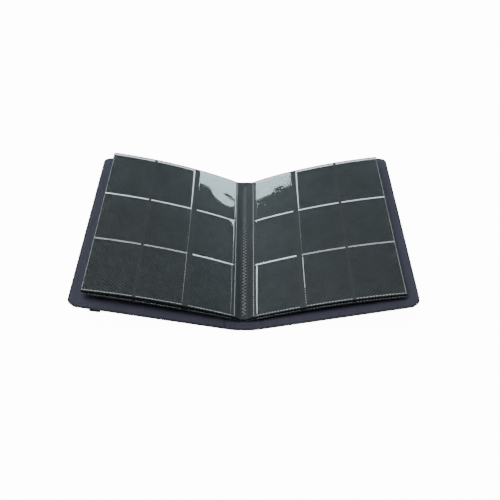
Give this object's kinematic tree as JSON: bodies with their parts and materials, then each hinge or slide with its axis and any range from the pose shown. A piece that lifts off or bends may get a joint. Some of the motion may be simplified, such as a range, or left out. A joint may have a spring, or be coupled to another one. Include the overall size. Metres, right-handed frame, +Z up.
{
  "type": "trading card album",
  "caption": "Side-loading nine-pocket card album, open in a shallow V on its spine: hinged stiff covers, leaves of clear pockets on dark cores that turn on a sewn seam, elastic strap.",
  "frame": {"origin": "middle of the flat under the spine, which is the centre of the underside of the album's box", "axes": "+X to the right across the open covers, +Y away from the reader along the spine, +Z up"},
  "size_m": [0.4722, 0.31, 0.0762],
  "materials": {
    "leatherette": "fine-grained black synthetic leather, satin",
    "greyboard": "pressed grey board, matt",
    "lining": "dark navy lining, fine weave, matt",
    "tape": "black binding cloth",
    "core_sheet": "black plastic sheet with a fine diagonal emboss, satin",
    "clear_film": "clear soft film, glossy",
    "thread": "grey sewing thread",
    "elastic": "black ribbed elastic"
  },
  "bodies": {
    "spine": {"spine_skin": "leatherette", "spine_stiffener": "greyboard", "spine_liner": "lining", "binding_tape": "tape", "sewn_sheet_centres": "core_sheet", "seam_thread": "thread"},
    "left_cover": {"left_cover_skin": "leatherette", "left_cover_board": "greyboard", "left_cover_liner": "lining", "strap_end_near": "elastic", "strap_end_far": "elastic"},
    "right_cover": {"right_cover_skin": "leatherette", "right_cover_board": "greyboard", "right_cover_liner": "lining"},
    "strap": {"strap_band": "elastic"},
    "left_leaf_1": {"left_leaf_1": "core_sheet"},
    "left_leaf_2": {"left_leaf_2": "core_sheet"},
    "left_leaf_3": {"left_leaf_3": "core_sheet"},
    "left_leaf_4": {"left_leaf_4": "core_sheet"},
    "left_leaf_5": {"left_leaf_5": "core_sheet"},
    "left_leaf_6": {"left_leaf_6": "core_sheet"},
    "left_leaf_7": {"left_leaf_7": "core_sheet"},
    "left_leaf_8": {"left_leaf_8": "core_sheet"},
    "left_leaf_9": {"left_leaf_9": "core_sheet"},
    "left_top_leaf": {"left_top_leaf_core": "core_sheet", "left_top_leaf_front_film_1": "clear_film", "left_top_leaf_front_film_2": "clear_film", "left_top_leaf_front_film_3": "clear_film", "left_top_leaf_back_film_1": "clear_film", "left_top_leaf_back_film_2": "clear_film", "left_top_leaf_back_film_3": "clear_film"},
    "right_leaf_1": {"right_leaf_1": "core_sheet"},
    "right_leaf_2": {"right_leaf_2": "core_sheet"},
    "right_leaf_3": {"right_leaf_3": "core_sheet"},
    "right_leaf_4": {"right_leaf_4": "core_sheet"},
    "right_leaf_5": {"right_leaf_5": "core_sheet"},
    "right_leaf_6": {"right_leaf_6": "core_sheet"},
    "right_leaf_7": {"right_leaf_7": "core_sheet"},
    "right_leaf_8": {"right_leaf_8": "core_sheet"},
    "right_leaf_9": {"right_leaf_9": "core_sheet"},
    "right_top_leaf": {"right_top_leaf_core": "core_sheet", "right_top_leaf_front_film_1": "clear_film", "right_top_leaf_front_film_2": "clear_film", "right_top_leaf_front_film_3": "clear_film", "right_top_leaf_back_film_1": "clear_film", "right_top_leaf_back_film_2": "clear_film", "right_top_leaf_back_film_3": "clear_film"}
  },
  "joints": [
    {"name": "left_cover_hinge", "type": "hinge", "parent": "spine", "child": "left_cover", "pos_m": [-0.0255, 0, 0.00325], "axis": [0, -1, 0], "range_deg": [-78.5, 14.5]},
    {"name": "right_cover_hinge", "type": "hinge", "parent": "spine", "child": "right_cover", "pos_m": [0.0255, 0, 0.00325], "axis": [0, 1, 0], "range_deg": [-78.5, 14.5]},
    {"name": "strap_pull", "type": "slide", "parent": "left_cover", "child": "strap", "axis": [0.2504, 0, 0.9681], "range_m": [-0.015, 0], "stiffness_N_per_m": 120},
    {"name": "left_leaf_1_hinge", "type": "hinge", "parent": "spine", "child": "left_leaf_1", "pos_m": [-0.01062, 0, 0.0057], "axis": [0, -1, 0], "range_deg": [-73.35, 13.59]},
    {"name": "left_leaf_2_hinge", "type": "hinge", "parent": "spine", "child": "left_leaf_2", "pos_m": [-0.01002, 0, 0.0063], "axis": [0, -1, 0], "range_deg": [-73.31, 13.58]},
    {"name": "left_leaf_3_hinge", "type": "hinge", "parent": "spine", "child": "left_leaf_3", "pos_m": [-0.00942, 0, 0.0069], "axis": [0, -1, 0], "range_deg": [-73.26, 13.57]},
    {"name": "left_leaf_4_hinge", "type": "hinge", "parent": "spine", "child": "left_leaf_4", "pos_m": [-0.00882, 0, 0.0075], "axis": [0, -1, 0], "range_deg": [-73.22, 13.56]},
    {"name": "left_leaf_5_hinge", "type": "hinge", "parent": "spine", "child": "left_leaf_5", "pos_m": [-0.00822, 0, 0.0081], "axis": [0, -1, 0], "range_deg": [-73.17, 13.56]},
    {"name": "left_leaf_6_hinge", "type": "hinge", "parent": "spine", "child": "left_leaf_6", "pos_m": [-0.00762, 0, 0.0087], "axis": [0, -1, 0], "range_deg": [-73.13, 13.55]},
    {"name": "left_leaf_7_hinge", "type": "hinge", "parent": "spine", "child": "left_leaf_7", "pos_m": [-0.00702, 0, 0.0093], "axis": [0, -1, 0], "range_deg": [-73.08, 13.54]},
    {"name": "left_leaf_8_hinge", "type": "hinge", "parent": "spine", "child": "left_leaf_8", "pos_m": [-0.00642, 0, 0.0099], "axis": [0, -1, 0], "range_deg": [-73.04, 13.53]},
    {"name": "left_leaf_9_hinge", "type": "hinge", "parent": "spine", "child": "left_leaf_9", "pos_m": [-0.00582, 0, 0.0105], "axis": [0, -1, 0], "range_deg": [-72.99, 13.52]},
    {"name": "left_page_turn", "type": "hinge", "parent": "left_leaf_9", "child": "left_top_leaf", "pos_m": [-0.005, 0, 0.01132], "axis": [0, 1, 0], "range_deg": [0, 25]},
    {"name": "right_leaf_1_hinge", "type": "hinge", "parent": "spine", "child": "right_leaf_1", "pos_m": [0.01062, 0, 0.0057], "axis": [0, 1, 0], "range_deg": [-75.15, 13.92]},
    {"name": "right_leaf_2_hinge", "type": "hinge", "parent": "spine", "child": "right_leaf_2", "pos_m": [0.01002, 0, 0.0063], "axis": [0, 1, 0], "range_deg": [-75.13, 13.92]},
    {"name": "right_leaf_3_hinge", "type": "hinge", "parent": "spine", "child": "right_leaf_3", "pos_m": [0.00942, 0, 0.0069], "axis": [0, 1, 0], "range_deg": [-75.12, 13.92]},
    {"name": "right_leaf_4_hinge", "type": "hinge", "parent": "spine", "child": "right_leaf_4", "pos_m": [0.00882, 0, 0.0075], "axis": [0, 1, 0], "range_deg": [-75.1, 13.91]},
    {"name": "right_leaf_5_hinge", "type": "hinge", "parent": "spine", "child": "right_leaf_5", "pos_m": [0.00822, 0, 0.0081], "axis": [0, 1, 0], "range_deg": [-75.08, 13.91]},
    {"name": "right_leaf_6_hinge", "type": "hinge", "parent": "spine", "child": "right_leaf_6", "pos_m": [0.00762, 0, 0.0087], "axis": [0, 1, 0], "range_deg": [-75.07, 13.91]},
    {"name": "right_leaf_7_hinge", "type": "hinge", "parent": "spine", "child": "right_leaf_7", "pos_m": [0.00702, 0, 0.0093], "axis": [0, 1, 0], "range_deg": [-75.05, 13.9]},
    {"name": "right_leaf_8_hinge", "type": "hinge", "parent": "spine", "child": "right_leaf_8", "pos_m": [0.00642, 0, 0.0099], "axis": [0, 1, 0], "range_deg": [-75.03, 13.9]},
    {"name": "right_leaf_9_hinge", "type": "hinge", "parent": "spine", "child": "right_leaf_9", "pos_m": [0.00582, 0, 0.0105], "axis": [0, 1, 0], "range_deg": [-75.02, 13.9]},
    {"name": "right_page_turn", "type": "hinge", "parent": "right_leaf_9", "child": "right_top_leaf", "pos_m": [0.005, 0, 0.01132], "axis": [0, -1, 0], "range_deg": [0, 130]}
  ],
  "couplings": [
    {"joint": "left_leaf_1_hinge", "follows": "left_cover_hinge", "ratio": 0.93376},
    {"joint": "left_leaf_2_hinge", "follows": "left_cover_hinge", "ratio": 0.93319},
    {"joint": "left_leaf_3_hinge", "follows": "left_cover_hinge", "ratio": 0.93263},
    {"joint": "left_leaf_4_hinge", "follows": "left_cover_hinge", "ratio": 0.93206},
    {"joint": "left_leaf_5_hinge", "follows": "left_cover_hinge", "ratio": 0.93149},
    {"joint": "left_leaf_6_hinge", "follows": "left_cover_hinge", "ratio": 0.93093},
    {"joint": "left_leaf_7_hinge", "follows": "left_cover_hinge", "ratio": 0.93036},
    {"joint": "left_leaf_8_hinge", "follows": "left_cover_hinge", "ratio": 0.92979},
    {"joint": "left_leaf_9_hinge", "follows": "left_cover_hinge", "ratio": 0.92923},
    {"joint": "right_leaf_1_hinge", "follows": "right_cover_hinge", "ratio": 0.95669},
    {"joint": "right_leaf_2_hinge", "follows": "right_cover_hinge", "ratio": 0.95648},
    {"joint": "right_leaf_3_hinge", "follows": "right_cover_hinge", "ratio": 0.95626},
    {"joint": "right_leaf_4_hinge", "follows": "right_cover_hinge", "ratio": 0.95605},
    {"joint": "right_leaf_5_hinge", "follows": "right_cover_hinge", "ratio": 0.95584},
    {"joint": "right_leaf_6_hinge", "follows": "right_cover_hinge", "ratio": 0.95563},
    {"joint": "right_leaf_7_hinge", "follows": "right_cover_hinge", "ratio": 0.95541},
    {"joint": "right_leaf_8_hinge", "follows": "right_cover_hinge", "ratio": 0.9552},
    {"joint": "right_leaf_9_hinge", "follows": "right_cover_hinge", "ratio": 0.95499}
  ]
}
